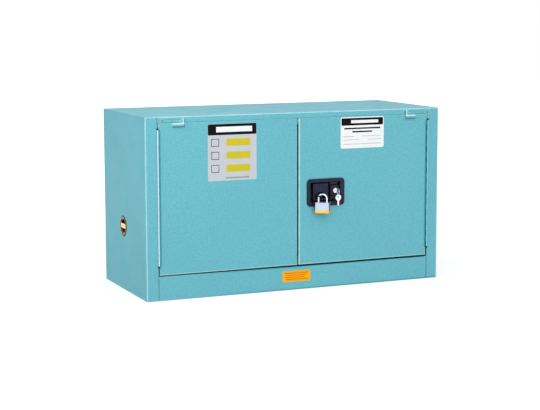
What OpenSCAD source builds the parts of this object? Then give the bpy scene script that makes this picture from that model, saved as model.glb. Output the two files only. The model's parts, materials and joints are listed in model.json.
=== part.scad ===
// Bench-top acid storage cabinet: two hinged doors, double-wall sheet steel,
// spring closer arms over the doors and a recessed paddle latch with a key lock.
// Origin: middle of the footprint, on the resting plane. X right, Y back, Z up.

/* [Cabinet] */
// Overall width of the steel box
cab_w = 1092; // [950:1:1250]
// Overall depth of the steel box
cab_d = 457; // [420:1:560]
// Overall height
cab_h = 610; // [600:1:760]
// Thickness of every steel sheet
sheet = 1.2; // [1:0.1:1.5]
// Air space between the outer and inner walls
air_gap = 38; // [34:1:44]
// Outside radius of the folds that show
bend_r = 2; // [1.6:0.1:2.4]
// Open line left between two sheets that meet in one face
seam = 1; // [0.3:0.1:1.2]
// Height of the header strip above the doors
header_h = 19.5; // [19:0.5:26]
// Height of the kick panel below the doors
kick_h = 81; // [70:1:95]
// Height of the sill flange that stands behind the doors
sill_rise = 33; // [25:1:40]
// Width of the flanges that the doors close against
stop_w = 20; // [14:1:26]
// Width of the small folds that join hidden sheets
fold_w = 15; // [10:1:18]

/* [Doors] */
// Thickness of a door
door_t = 38; // [36:1:42]
// Gap between the two doors
centre_gap = 5; // [4.5:0.5:8]
// Gap between a door and the stile that carries it
hinge_gap = 4.2; // [4:0.1:5]
// Gap above a door
top_gap = 1; // [0.8:0.1:3]
// Gap below a door
bottom_gap = 4; // [2:0.5:5]
// Gap between a closed door and its stop flanges
stop_gap = 2; // [1:0.5:4]
// Depth of the lip round a door's inner pan
pan_lip = 8; // [6:0.5:9]
// Distance from the hinge edge to the stiffener
stiffener_in = 180; // [120:1:240]

/* [Hinges] */
// Outside radius of a hinge knuckle
knuckle_r = 2.4; // [2.2:0.05:2.4]
// Distance from the stile to the hinge axis
hinge_in = 1.2; // [1.2:0.1:1.5]
// How far the hinge axis stands in front of the doors
hinge_out = 1.5; // [1.5:0.1:2]
// Radius of the hinge pin
pin_r = 1.5; // [1.2:0.05:1.6]
// Radial running clearance on every pin
run = 0.05; // [0.02:0.01:0.08]
// Width of a hinge leaf
leaf_w = 28; // [20:1:32]
// Pairs of knuckles along one hinge
knuckle_pairs = 12; // [8:1:16]
// Height of bare door edge above the hinge
hinge_top = 22; // [12:0.5:30]
// Height of bare door edge below the hinge
hinge_bottom = 31.5; // [20:0.5:40]

/* [Closer arms] */
// Distance from the hinge axis to the far edge of the arm's stem
closer_reach = 94; // [80:0.5:110]
// Width of the stem that drops in front of the door
stem_w = 14; // [10:0.5:18]
// Length of the foot that bears on the door
foot_len = 45; // [35:1:50]
// Height of the foot
foot_h = 12; // [9:0.5:14]
// How far the foot reaches below the top of the door
foot_drop = 14.5; // [12:0.5:20]
// Gap between the foot and the door face
foot_gap = 1.6; // [1.4:0.1:2]
// Thickness of the arm plate
arm_t = 3; // [2.5:0.1:3.5]
// Height of the lip that closes the slot in the header
arm_lip_h = 7.4; // [6.8:0.1:8]

/* [Interior] */
// Depth of the spill sump under the sill
sump_depth = 50; // [40:1:55]
// Height of the shelf deck
shelf_z = 325; // [260:1:400]
// Depth of the shelf, front to back
shelf_d = 300; // [260:1:330]
// Height of the turned-down shelf edges
shelf_edge = 28; // [20:1:34]
// Height of the raised bead along the front of the shelf
shelf_bead = 9; // [6:1:14]
// Height of the plastic tray on the shelf
tray_h = 22; // [16:1:30]
// Wall of the plastic tray
tray_wall = 3; // [2:0.5:4]
// Depth of a slotted shelf standard
standard_t = 6; // [5:0.5:9]
// Width of a slotted shelf standard
standard_w = 18; // [16:1:24]
// Height from one slot to the next
slot_pitch = 25; // [20:1:32]

/* [Vents] */
// Outside radius of the vent tube
vent_r = 29.5; // [24:0.5:32]
// Height of the left vent
vent_left_z = 221; // [170:1:260]
// Height of the right vent
vent_right_z = 460; // [420:1:480]
// Distance of the vents behind the middle of the cabinet
vent_y = 19; // [0:1:40]

/* [Paddle latch] */
// Width of the latch bezel
bezel_w = 142; // [136:1:150]
// Height of the latch bezel
bezel_h = 94; // [90:1:104]
// Thickness of the latch bezel
bezel_t = 3; // [2:0.5:4]
// Corner radius of the latch bezel
bezel_r = 13; // [8:1:18]
// Distance from the door's free edge to the bezel
bezel_in = 30.5; // [26:0.5:40]
// Height of the middle of the bezel
latch_z = 332; // [310:1:350]
// Width of the latch recess
well_w = 113; // [108:1:114]
// Height of the latch recess
well_h = 67.5; // [66:0.5:69]
// Depth of the latch recess behind the bezel's face
well_d = 20; // [19:0.5:21]
// Wall of the cast latch tray
cast_wall = 2.5; // [2:0.1:3]
// Width of the finger channel beside the paddle
finger_w = 11; // [9:0.5:13]
// Width of the paddle
paddle_w = 57.5; // [54:0.5:58]
// Thickness of the paddle
paddle_t = 3; // [2.5:0.1:4]
// Gap above and below the paddle
paddle_gap = 5.5; // [3:0.5:7]
// Radius of the paddle's pivot pin
paddle_pin_r = 2.5; // [2:0.1:2.8]
// Throw of the cam's pins from its axis
cam_r = 20; // [18:0.5:21]
// Radius of the cam's pins
cam_pin_r = 2.5; // [2:0.1:2.7]
// Width of the latch rods
rod_w = 14; // [13:0.5:16]
// Thickness of the latch rods
rod_t = 3; // [2.5:0.1:3.2]
// Radius of the round rod ends
bullet_r = 3.9; // [3.5:0.1:3.9]
// Height of the centre bolt
bolt_h = 12; // [10:0.5:14]

/* [Key lock] */
// Radius of the lock's front ring
lock_ring_r = 8.25; // [7.5:0.05:9]
// Radius of the turning plug
plug_r = 4.5; // [4.3:0.05:5]
// Radius of a key's bow
bow_r = 10.5; // [9:0.1:11]
// Thickness of a key
key_t = 2; // [1.6:0.1:2.2]

/* [Padlock] */
// Width of the padlock case
case_w = 50; // [44:0.5:50]
// Thickness of the padlock case
case_t = 25; // [20:0.5:25]
// Height of the laminated part of the case
case_h = 26; // [24:0.5:32]
// Height of the band round the foot of the case
band_h = 10; // [8:0.5:14]
// Radius of the shackle wire
shackle_r = 3; // [2.5:0.1:3.2]
// Radius of the shackle's arch, to the middle of the wire
arch_r = 14.5; // [14:0.1:15]
// Height of the shackle above the case
shackle_h = 30.8; // [28:0.2:32]
// Angle by which the padlock hangs turned from the door
padlock_turn = -38; // [-38:1:-30]

/* [Hidden] */
$fn = 48;

// Colours
paint = [0.47, 0.76, 0.81];
galvanised = [0.72, 0.74, 0.75];
zinc = [0.78, 0.79, 0.8];
brass = [0.78, 0.6, 0.32];
black = [0.13, 0.14, 0.18];
plastic = [0.1, 0.1, 0.11];
chrome = [0.85, 0.86, 0.88];
yellow = [0.96, 0.75, 0.2];

// Small clearances between pieces
slip = 0.4;      // a moving piece beside a fixed one
rod_slip = 0.5;  // a rod in its guide
over = 1;        // how far a cutting tool runs past a face

// Cabinet planes
half_w = cab_w / 2;
front_y = -cab_d / 2;
back_y = cab_d / 2;
stile_x = half_w - air_gap - 3 * sheet;
stop_y = front_y + door_t + stop_gap;
header_z = cab_h - header_h;
sill_z = kick_h + sill_rise;
liner_x = stile_x + sheet;
liner_y = back_y - 2 * sheet - air_gap;
liner_z = cab_h - 2 * sheet - air_gap;
sump_z = sill_z - sump_depth;
tub_y = stop_y + sheet + fold_w;

// Earthing screw
ground_r = 2.5;
ground_in = 70;
ground_y = back_y - ground_in;
ground_z = kick_h + sill_rise + 50;

// Door planes
free_x = centre_gap / 2;
edge_x = stile_x - hinge_gap;
door_back = front_y + door_t;
door_low = kick_h + bottom_gap;
door_high = header_z - top_gap;
hinge_x = stile_x - hinge_in;
axis_y = front_y - hinge_out;
pin_head_h = 4.5;
leaf_t = sheet;
hinge_low = door_low + hinge_bottom;
hinge_high = door_high - hinge_top;
knuckle_h = (hinge_high - hinge_low) / (2 * knuckle_pairs);
leaf_relief = knuckle_r + 0.7;

// Closer arm, measured in from the hinge axis and back from the front face
pivot_in = 6;
pivot_back = 10 - hinge_out;
closer_boss_r = 4.5;
closer_pin_r = 2.5;
neck_half = 4;
neck_end = 18;
arm_depth = 12;
arm_low = header_z + sheet + 0.5;
arm_boss_high = arm_low + 11.7;
stem_high = header_z + 12.5;
foot_low = door_high - foot_drop;
slot_room = 0.5;
spring_wire = 0.7;

// Latch
bezel_x = free_x + bezel_in;
bezel_y = front_y - bezel_t;
bezel_mid = bezel_x + bezel_w / 2;
well_x0 = bezel_x + (bezel_w - well_w) / 2 - 2;
well_x1 = well_x0 + well_w;
well_z0 = latch_z + 1.75 - well_h / 2;
well_z1 = well_z0 + well_h;
well_y = bezel_y + well_d;
tray_back = well_y + cast_wall;
paddle_x0 = well_x0 + finger_w;
paddle_x1 = paddle_x0 + paddle_w;
paddle_y = front_y - 1;
paddle_z0 = well_z0 + paddle_gap;
paddle_z1 = well_z1 - paddle_gap;
pivot_x = paddle_x1 - 4;
pivot_y = paddle_y + paddle_t + 7.5;
barrel_r = 5;
nose_r = 3;
nose_back = 13.15;
nose_gap = 0.5;
cam_x = pivot_x - nose_r - cam_pin_r - nose_gap;
cam_z = well_z1 - 22.5;
cam_y = tray_back + 8;
cam_t = 3;
nose_z = cam_z - cam_r;
rod_y = cam_y + cam_t + 0.5;
rod_mid = rod_y + rod_t / 2;
bolt_y = cam_y - 1.5 - rod_t;
bolt_z = cam_z + cam_r;
top_rod_x = cam_x + cam_r - 1;
bottom_rod_x = cam_x - cam_r + 1;
bullet_len = 40;
bolt_nose = 1.5;
strike_t = 1.6;

// Lock
lock_x = paddle_x1 + 27.5;
lock_z = latch_z + 3.5;
block_y = front_y + 1.5;
key_y = front_y - 23;
ring_wire = 0.6;
ring_r = bow_r - 0.8;
bow_hole_r = 2.6;
hole_in = 2.5;
spare_hole_z = lock_z - 2 * ring_r;

// Padlock
eye_x = paddle_x0 + 23.5;
eye_y = bezel_y - 25;
arch_top = latch_z - 0.5;
arch_z = arch_top - shackle_r - arch_r;
tab_z = arch_top - 10.5;
tab_t = 3;
tab_reach = sqrt(pow(arch_r, 2) - pow(tab_z - arch_z, 2)) - 0.3;
tab_x = eye_x - tab_reach * cos(padlock_turn);
tab_y = eye_y - tab_reach * sin(padlock_turn);
tab_hole_r = shackle_r + 2.8;
tab_r = tab_hole_r + 3;
window_x0 = paddle_x0 + 8;
window_x1 = pivot_x - barrel_r - 1;
window_z0 = paddle_z0 + 5.5;
window_high = arch_top + 2 - window_z0;
window_r = window_high;
case_high = arch_top - shackle_h;
case_low = case_high - case_h;
lamina = 2.6;

// A block from its low corner to its high corner.
module span(low, high) {
    translate(low) cube(high - low);
}

// Mirrored copies to the left and the right.
module both_sides() {
    children();
    mirror([1, 0, 0]) children();
}

// A cylinder along Y from one depth to another.
module rod_along_y(x, z, y0, y1, r) {
    translate([x, y0, z]) rotate([-90, 0, 0]) cylinder(h = y1 - y0, r = r);
}

// A cylinder along X from one side to another.
module rod_along_x(y, z, x0, x1, r) {
    translate([x0, y, z]) rotate([0, 90, 0]) cylinder(h = x1 - x0, r = r);
}

// An upright cylinder.
module rod_along_z(x, y, z0, z1, r) {
    translate([x, y, z0]) cylinder(h = z1 - z0, r = r);
}

// The tool that rounds an edge, drawn at the origin along Z: the edge is at 0,0
// and the solid lies towards +X and +Y.
module edge_tool(r, length) {
    difference() {
        translate([-over, -over, 0]) cube([r + over, r + over, length]);
        translate([r, r, -over]) cylinder(h = length + 2 * over, r = r);
    }
}

// An upright slab with round corners, seen along Y.
module round_slab(x0, z0, x1, z1, y0, y1, r) {
    translate([0, y1, 0]) rotate([90, 0, 0]) linear_extrude(y1 - y0) union() {
        translate([x0 + r, z0]) square([x1 - x0 - 2 * r, z1 - z0]);
        translate([x0, z0 + r]) square([x1 - x0, z1 - z0 - 2 * r]);
        for (x = [x0 + r, x1 - r], z = [z0 + r, z1 - r])
            translate([x, z]) circle(r);
    }
}

// An upright post with round corners, centred on the Z axis.
module round_post(w, t, z0, z1, r) {
    translate([0, 0, z0]) linear_extrude(z1 - z0) union() {
        translate([r - w / 2, -t / 2]) square([w - 2 * r, t]);
        translate([-w / 2, r - t / 2]) square([w, t - 2 * r]);
        for (x = [r - w / 2, w / 2 - r], y = [r - t / 2, t / 2 - r])
            translate([x, y]) circle(r);
    }
}

// A helical tube about the Z axis, as one closed surface.
module coil(mid_r, wire, low, high, turns) {
    per_turn = 16;
    sides = 6;
    steps = turns * per_turn;
    rings = [for (i = [0 : steps]) let (a = 360 * i / per_turn, h = low + wire
        + (high - low - 2 * wire) * i / steps)
        for (j = [0 : sides - 1]) let (b = 360 * j / sides, r = mid_r + wire * cos(b))
            [r * cos(a), r * sin(a), h + wire * sin(b)]];
    skin = [for (i = [0 : steps - 1], j = [0 : sides - 1]) let (k = (j + 1) % sides,
        p = i * sides + j, q = i * sides + k) each [[p, q, p + sides], [q, q + sides, p + sides]]];
    first = [[for (j = [sides - 1 : -1 : 0]) j]];
    last = [[for (j = [0 : sides - 1]) steps * sides + j]];
    polyhedron(rings, concat(skin, first, last), convexity = 8);
}

// ---- Cabinet shell -------------------------------------------------------

module top_panel() color(paint) difference() {
    union() {
        span([-half_w, front_y, cab_h - sheet], [half_w, back_y, cab_h]);
        span([seam - stile_x, front_y, header_z], [stile_x - seam, front_y + sheet, cab_h]);
        span([seam - stile_x, front_y, header_z],
            [stile_x - seam, stop_y + sheet, header_z + sheet]);
    }
    translate([-half_w - over, front_y, cab_h]) rotate([0, 90, 0])
        edge_tool(bend_r, cab_w + 2 * over);
    both_sides() {
        closer_slot();
        translate([stile_x - seam, front_y, header_z - over]) mirror([1, 0, 0])
            edge_tool(bend_r, header_h - bend_r);
    }
    rod_along_z(top_rod_x, rod_mid, header_z - over, header_z + 2 * sheet, bullet_r + rod_slip);
}

// The slot through the header that a closer arm swings out of.
module closer_slot() {
    span([hinge_x - closer_reach + 1 - slot_room, front_y - over, header_z + sheet],
        [hinge_x - neck_end + slot_room, front_y + 2 * sheet, arm_low + arm_lip_h + slot_room]);
    span([hinge_x - neck_end, front_y - over, header_z + sheet],
        [stile_x, front_y + 2 * sheet, arm_low + arm_t + slot_room]);
}

// The short slit that eases the sheet where its two folds meet at the top corner
slit_len = 18;
slit_h = 1.4;
slit_fall = 24;

// One bent sheet: side, front stile, return beside the door and stop flange.
module side_panel(vent_z) color(paint) difference() {
    union() {
        span([half_w - sheet, front_y, 0], [half_w, back_y, cab_h - sheet]);
        span([stile_x, front_y, 0], [half_w, front_y + sheet, cab_h - sheet]);
        span([stile_x, front_y, sheet], [stile_x + sheet, stop_y + sheet, cab_h - sheet]);
        span([stile_x - stop_w, stop_y, kick_h], [stile_x + sheet, stop_y + sheet, header_z]);
    }
    translate([half_w, front_y, -over]) mirror([1, 0, 0]) edge_tool(bend_r, cab_h + 2 * over);
    translate([stile_x, front_y, -over]) edge_tool(bend_r, cab_h + 2 * over);
    translate([half_w - 2 * sheet, front_y + 4, cab_h - 3.4]) rotate([-slit_fall, 0, 0])
        cube([3 * sheet, slit_len, slit_h]);
    rod_along_x(vent_y, vent_z, half_w - 2 * sheet, half_w + over, vent_r + slip / 2);
}

module right_side_panel() color(paint) difference() {
    side_panel(vent_right_z);
    rod_along_x(ground_y, ground_z, half_w - 2 * sheet, half_w + over, ground_r);
}

module back_panel() color(paint) {
    in_x = half_w - sheet;
    span([-in_x, back_y - sheet, 0], [in_x, back_y, cab_h - sheet]);
    both_sides()
        span([in_x - sheet, back_y - fold_w, sheet], [in_x, back_y - sheet, cab_h - sheet]);
    span([sheet - in_x, back_y - fold_w, cab_h - 2 * sheet],
        [in_x - sheet, back_y - sheet, cab_h - sheet]);
}

module base_pan() color(paint) {
    in_x = half_w - sheet;
    span([-in_x, front_y + sheet, 0], [in_x, back_y - sheet, sheet]);
    both_sides() span([in_x - sheet, stop_y + 2 * sheet, sheet],
        [in_x, back_y - fold_w - sheet, fold_w]);
}

// Hat sections that carry the sump tub on the base pan.
module base_runners() color(galvanised) {
    web = 40;
    for (x = [-half_w * 0.6, 0, half_w * 0.6]) {
        for (s = [-1, 1]) {
            span([x + s * web / 2 - sheet / 2, tub_y, sheet],
                [x + s * web / 2 + sheet / 2, liner_y, sump_z]);
            span([x + s * (web / 2 + fold_w / 2) - fold_w / 2, tub_y, sheet],
                [x + s * (web / 2 + fold_w / 2) + fold_w / 2, liner_y, 2 * sheet]);
        }
        span([x - web / 2, tub_y, sump_z - sheet], [x + web / 2, liner_y, sump_z]);
    }
}

module kick_panel() color(paint) {
    in_x = stile_x - seam;
    difference() {
        union() {
            span([-in_x, front_y, 0], [in_x, front_y + sheet, kick_h]);
            span([-in_x, front_y, kick_h - sheet], [in_x, stop_y + sheet, kick_h]);
            both_sides() span([in_x - sheet, front_y + sheet, sheet],
                [in_x, front_y + fold_w, kick_h - sheet]);
        }
        both_sides() translate([in_x, front_y, -over]) mirror([1, 0, 0])
            edge_tool(bend_r, kick_h + 2 * over);
        translate([in_x + over, front_y, kick_h]) rotate([0, -90, 0]) mirror([1, 0, 0])
            edge_tool(bend_r, 2 * in_x + 2 * over);
        rod_along_z(bottom_rod_x, rod_mid, kick_h - 2 * sheet, kick_h + over,
            bullet_r + rod_slip);
    }
}

// An angle on the kick panel's ledge: the doors close against its upright, and its
// upper leg reaches the sump tub.
module sill_flange() color(paint) {
    stop_x = stile_x - stop_w;
    span([-stop_x, stop_y, kick_h], [stop_x, stop_y + sheet, sill_z]);
    span([-stile_x, stop_y + sheet, sill_z - sheet], [stile_x, tub_y + sheet, sill_z]);
}

module header_stop() color(paint) {
    stop_x = stile_x - stop_w;
    span([-stop_x, stop_y, liner_z - sheet], [stop_x, stop_y + sheet, header_z]);
    span([-stile_x, stop_y + sheet, liner_z - sheet], [stile_x, tub_y, liner_z]);
}

// ---- Inner liner ---------------------------------------------------------

module liner_side(vent_z) color(paint) difference() {
    span([liner_x, stop_y + sheet - fold_w, sump_z], [liner_x + sheet, liner_y, liner_z]);
    rod_along_x(vent_y, vent_z, liner_x - over, liner_x + 2 * sheet, vent_r + slip / 2);
}

module liner_back() color(paint)
    span([-liner_x - sheet, liner_y, sump_z], [liner_x + sheet, liner_y + sheet, liner_z]);

module liner_top() color(paint)
    span([-liner_x - sheet, stop_y + sheet, liner_z],
        [liner_x + sheet, liner_y + sheet, liner_z + sheet]);

// The leak-proof tub that fills the bottom of the cabinet.
module sump_tub() color(paint) difference() {
    span([-liner_x, tub_y, sump_z], [liner_x, liner_y, sill_z - sheet]);
    span([sheet - liner_x, tub_y + sheet, sump_z + sheet],
        [liner_x - sheet, liner_y - sheet, sill_z]);
}

// ---- Shelf ---------------------------------------------------------------

standard_low = sill_z + 6;
standard_high = liner_z - 6;
standard_ys = [liner_y - shelf_d + 35, liner_y - 50];
shelf_y0 = liner_y - shelf_d - 8;
shelf_y1 = liner_y - 8;
slot_h = 12;
clip_z = standard_low + 10 + slot_pitch * round((shelf_z - standard_low - 20) / slot_pitch);
deck_z = clip_z + slot_h - 2;
clip_t = 1.5;
clip_arm = 22;
clip_drop = 20;
shelf_half = liner_x - standard_t - clip_t - 0.5;

// Slotted channel strips on the liner's side walls.
module shelf_standards() color(galvanised) both_sides() for (y = standard_ys)
    difference() {
        span([liner_x - standard_t, y - standard_w / 2, standard_low],
            [liner_x, y + standard_w / 2, standard_high]);
        span([liner_x - standard_t + sheet, y - standard_w / 2 + sheet, standard_low - over],
            [liner_x + over, y + standard_w / 2 - sheet, standard_high + over]);
        for (z = [standard_low + 10 : slot_pitch : standard_high - slot_h])
            span([liner_x - standard_t - over, y - 2, z],
                [liner_x - standard_t + 2 * sheet, y + 2, z + slot_h]);
    }

// Angle clips whose tongues drop into the slots, and carry the shelf.
module shelf_clips() color(galvanised) both_sides() for (y = standard_ys) {
    face = liner_x - standard_t;
    span([face - clip_t, y - 7, deck_z - clip_drop], [face, y + 7, deck_z]);
    span([face - clip_arm, y - 7, deck_z - clip_t], [face, y + 7, deck_z]);
    span([face - clip_t, y - 1.5, clip_z + 0.5], [face + 3, y + 1.5, clip_z + 7]);
}

// Deck with turned-down edges front and back, and a raised bead along the front.
module shelf() color(galvanised) {
    span([-shelf_half, shelf_y0, deck_z], [shelf_half, shelf_y1, deck_z + sheet]);
    for (y = [shelf_y0, shelf_y1 - sheet])
        span([-shelf_half, y, deck_z - shelf_edge], [shelf_half, y + sheet, deck_z]);
    span([-shelf_half, shelf_y0, deck_z - shelf_edge],
        [shelf_half, shelf_y0 + fold_w, deck_z - shelf_edge + sheet]);
    span([-shelf_half, shelf_y1 - fold_w, deck_z - shelf_edge],
        [shelf_half, shelf_y1, deck_z - shelf_edge + sheet]);
    span([-shelf_half, shelf_y0, deck_z + sheet], [shelf_half, shelf_y0 + sheet, deck_z + shelf_bead]);
    span([-shelf_half, shelf_y1 - sheet, deck_z + sheet],
        [shelf_half, shelf_y1, deck_z + 2 * shelf_bead]);
}

module shelf_tray() color(plastic) {
    x = shelf_half - 12;
    y0 = shelf_y0 + 12;
    y1 = shelf_y1 - 10;
    z = deck_z + sheet;
    difference() {
        span([-x, y0, z], [x, y1, z + tray_h]);
        span([tray_wall - x, y0 + tray_wall, z + tray_wall],
            [x - tray_wall, y1 - tray_wall, z + tray_h + over]);
    }
}

// ---- Vents ---------------------------------------------------------------

tube_wall = 2.2;
tube_in_r = vent_r - tube_wall;
flange_t = 0.8;
flange_r = vent_r + 2.5;
screen_x = liner_x + 4;

// A flanged tube through both walls, with a ring nut on the liner.
module vent_tube(vent_z) difference() {
    union() {
        rod_along_x(vent_y, vent_z, liner_x - 4, half_w + flange_t, vent_r);
        rod_along_x(vent_y, vent_z, half_w, half_w + flange_t, flange_r);
        rod_along_x(vent_y, vent_z, liner_x - 3, liner_x, flange_r + 2);
    }
    rod_along_x(vent_y, vent_z, liner_x - 5, half_w + 2, tube_in_r);
}

module vent_tubes() color(brass) {
    vent_tube(vent_right_z);
    mirror([1, 0, 0]) vent_tube(vent_left_z);
}

// A pierced disc across the tube stops a flame from entering.
module flame_screen(vent_z) difference() {
    rod_along_x(vent_y, vent_z, screen_x, screen_x + 1, tube_in_r);
    for (ring = [0 : 3], i = [0 : max(ring * 6 - 1, 0)]) let (a = 360 * i / max(ring * 6, 1))
        rod_along_x(vent_y + ring * 6.4 * cos(a), vent_z + ring * 6.4 * sin(a),
            screen_x - over, screen_x + 2, 2.1);
}

module flame_screens() color(brass) {
    flame_screen(vent_right_z);
    mirror([1, 0, 0]) flame_screen(vent_left_z);
}

cap_r = tube_in_r - run;
cap_face = half_w - 1.5;
cap_bar = 7.5;

// A screwed cap, sunk in the tube: a cup with a broad bar across it to turn it by.
module vent_cap(vent_z) color(brass) difference() {
    union() {
        difference() {
            rod_along_x(vent_y, vent_z, cap_face - 12, cap_face, cap_r);
            rod_along_x(vent_y, vent_z, cap_face - 9, cap_face + over, cap_r - 3);
        }
        intersection() {
            span([cap_face - 9.5, vent_y - cap_r, vent_z - cap_bar],
                [cap_face + 1.5, vent_y + cap_r, vent_z + cap_bar]);
            rod_along_x(vent_y, vent_z, cap_face - 9.5, cap_face + 1.5, cap_r - 1);
        }
        rod_along_x(vent_y, vent_z, cap_face - 9.5, cap_face + 2.2, cap_bar + 1.5);
    }
    rod_along_x(vent_y, vent_z, cap_face - 3, cap_face + 3, 2.6);
}

// Earthing screw with its washer and nut, low on the right wall near the back.
module ground_screw() color(brass) {
    rod_along_x(ground_y, ground_z, half_w - 9, half_w + 0.6, ground_r);
    rod_along_x(ground_y, ground_z, half_w, half_w + 0.6, 6);
    translate([half_w - sheet - 4, ground_y, ground_z]) rotate([0, 90, 0])
        cylinder(h = 4, r = 5, $fn = 6);
}

// ---- Hinges --------------------------------------------------------------

// One leaf: a plate, its tabs and every second knuckle, bored for the pin.
// The plate lies from plate_x towards plate_x + leaf_t; first is 0 or 1.
module hinge_leaf(plate_x, first) color(zinc) difference() {
    union() {
        span([plate_x, axis_y + leaf_relief, hinge_low],
            [plate_x + leaf_t, front_y + leaf_w, hinge_high]);
        for (i = [first : 2 : 2 * knuckle_pairs - 1]) let (z = hinge_low + i * knuckle_h) {
            rod_along_z(hinge_x, axis_y, z + slip / 2, z + knuckle_h - slip / 2, knuckle_r);
            span([plate_x, axis_y, z + slip / 2],
                [plate_x + leaf_t, axis_y + leaf_relief, z + knuckle_h - slip / 2]);
        }
    }
    rod_along_z(hinge_x, axis_y, hinge_low - over, hinge_high + over, pin_r + run);
}

module frame_hinge_leaves() both_sides() hinge_leaf(stile_x - leaf_t, 0);

module door_leaf() hinge_leaf(edge_x, 1);

// Pins with a round head at each end.
module hinge_pins() color(black) both_sides() {
    low = hinge_low - slip / 2;
    high = hinge_high + slip / 2;
    rod_along_z(hinge_x, axis_y, low, high, pin_r);
    rod_along_z(hinge_x, axis_y, low - pin_head_h, low, knuckle_r);
    rod_along_z(hinge_x, axis_y, high, high + pin_head_h, knuckle_r);
}

// ---- Doors ---------------------------------------------------------------

// The outer pan of the right-hand door, folded back on all four edges.
module door_outer() difference() {
    span([free_x, front_y, door_low], [edge_x, door_back, door_high]);
    span([free_x + sheet, front_y + sheet, door_low + sheet],
        [edge_x - sheet, door_back + over, door_high - sheet]);
    translate([free_x, front_y, door_low - over]) edge_tool(bend_r, cab_h);
    translate([edge_x, front_y, door_low - over]) mirror([1, 0, 0]) edge_tool(bend_r, cab_h);
    translate([free_x - over, front_y, door_high]) rotate([0, 90, 0]) edge_tool(bend_r, cab_w);
    translate([edge_x + over, front_y, door_low]) rotate([0, -90, 0]) edge_tool(bend_r, cab_w);
}

// The inner pan, spot-welded inside the outer one by its lips.
module door_inner() difference() {
    span([free_x + sheet, door_back - pan_lip, door_low + sheet],
        [edge_x - sheet, door_back, door_high - sheet]);
    span([free_x + 2 * sheet, door_back - pan_lip - over, door_low + 2 * sheet],
        [edge_x - 2 * sheet, door_back - sheet, door_high - 2 * sheet]);
}

// An upright channel that ties the two pans together.
module door_stiffener() color(galvanised) {
    x = edge_x - stiffener_in;
    y0 = front_y + sheet;
    y1 = door_back - sheet;
    z0 = door_low + 2 * sheet + 4;
    z1 = door_high - 2 * sheet - 4;
    span([x, y0, z0], [x + sheet, y1, z1]);
    span([x, y0, z0], [x + fold_w, y0 + sheet, z1]);
    span([x, y1 - sheet, z0], [x + fold_w, y1, z1]);
}

module left_door_outer() color(paint) mirror([1, 0, 0]) difference() {
    door_outer();
    span([free_x - over, bolt_y - rod_slip, bolt_z - bolt_h / 2 - rod_slip],
        [free_x + 2 * sheet, bolt_y + rod_t + rod_slip, bolt_z + bolt_h / 2 + rod_slip]);
}

// A soft bulb on the left door's free edge, short of the right door.
module centre_seal() color(plastic) {
    bulb = 1.4;
    y = front_y + bend_r + 2.8;
    span([-free_x, y - 2.6, hinge_low], [bulb - free_x, y + 2.6, hinge_high]);
    rod_along_z(bulb - free_x, y, hinge_low, hinge_high, bulb);
}

module bolt_strike() color(zinc) mirror([1, 0, 0]) difference() {
    span([free_x + sheet, bolt_y - 6, bolt_z - bolt_h], [free_x + sheet + strike_t,
        bolt_y + rod_t + 2, bolt_z + bolt_h]);
    span([free_x, bolt_y - rod_slip, bolt_z - bolt_h / 2 - rod_slip],
        [free_x + 2 * sheet + strike_t, bolt_y + rod_t + rod_slip, bolt_z + bolt_h / 2 + rod_slip]);
}

module right_door_outer() color(paint) difference() {
    door_outer();
    span([well_x0 - cast_wall - slip, front_y - over, well_z0 - cast_wall - slip],
        [well_x1 + cast_wall + slip, front_y + 2 * sheet, well_z1 + cast_wall + slip]);
    for (p = stud_places) rod_along_y(p[0], p[1], front_y - over, front_y + 2 * sheet, stud_r + slip);
    span([free_x - over, bolt_y - rod_slip, bolt_z - bolt_h / 2 - rod_slip],
        [free_x + 2 * sheet, bolt_y + rod_t + rod_slip, bolt_z + bolt_h / 2 + rod_slip]);
    rod_along_z(top_rod_x, rod_mid, door_high - 2 * sheet, door_high + over, bullet_r + rod_slip);
    rod_along_z(bottom_rod_x, rod_mid, door_low - over, door_low + 2 * sheet, bullet_r + rod_slip);
}

module right_door_inner() color(paint) difference() {
    door_inner();
    rod_along_z(top_rod_x, rod_mid, door_high - 4 * sheet, door_high, bullet_r + rod_slip);
    rod_along_z(bottom_rod_x, rod_mid, door_low, door_low + 4 * sheet, bullet_r + rod_slip);
}

// ---- Paddle latch --------------------------------------------------------

stud_in = 6;
stud_r = 1.75;
stud_places = [for (x = [bezel_x + stud_in, bezel_x + bezel_w - stud_in],
    z = [latch_z - bezel_h / 2 + stud_in, latch_z + bezel_h / 2 - stud_in]) [x, z]];

// The cast tray: a round-cornered bezel, a deep well, and the islands on its floor.
module latch_tray() color(black) difference() {
    union() {
        round_slab(bezel_x, latch_z - bezel_h / 2, bezel_x + bezel_w, latch_z + bezel_h / 2,
            bezel_y, front_y, bezel_r);
        span([well_x0 - cast_wall, front_y - over, well_z0 - cast_wall],
            [well_x1 + cast_wall, tray_back, well_z1 + cast_wall]);
        for (p = stud_places) rod_along_y(p[0], p[1], front_y - over, front_y + 7, stud_r);
    }
    difference() {
        span([well_x0, bezel_y - over, well_z0], [well_x1, well_y, well_z1]);
        tray_islands();
    }
    span([cam_x - 6.5, well_y - over, nose_z - 9], [pivot_x + nose_r + 1.5, tray_back + over, nose_z + 9]);
    rod_along_z(pivot_x, pivot_y, well_z0 - cast_wall - over, well_z1 + cast_wall + over, paddle_pin_r);
    rod_along_y(lock_x, lock_z, bezel_y - over, tray_back + over, lock_body_r);
}

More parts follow.
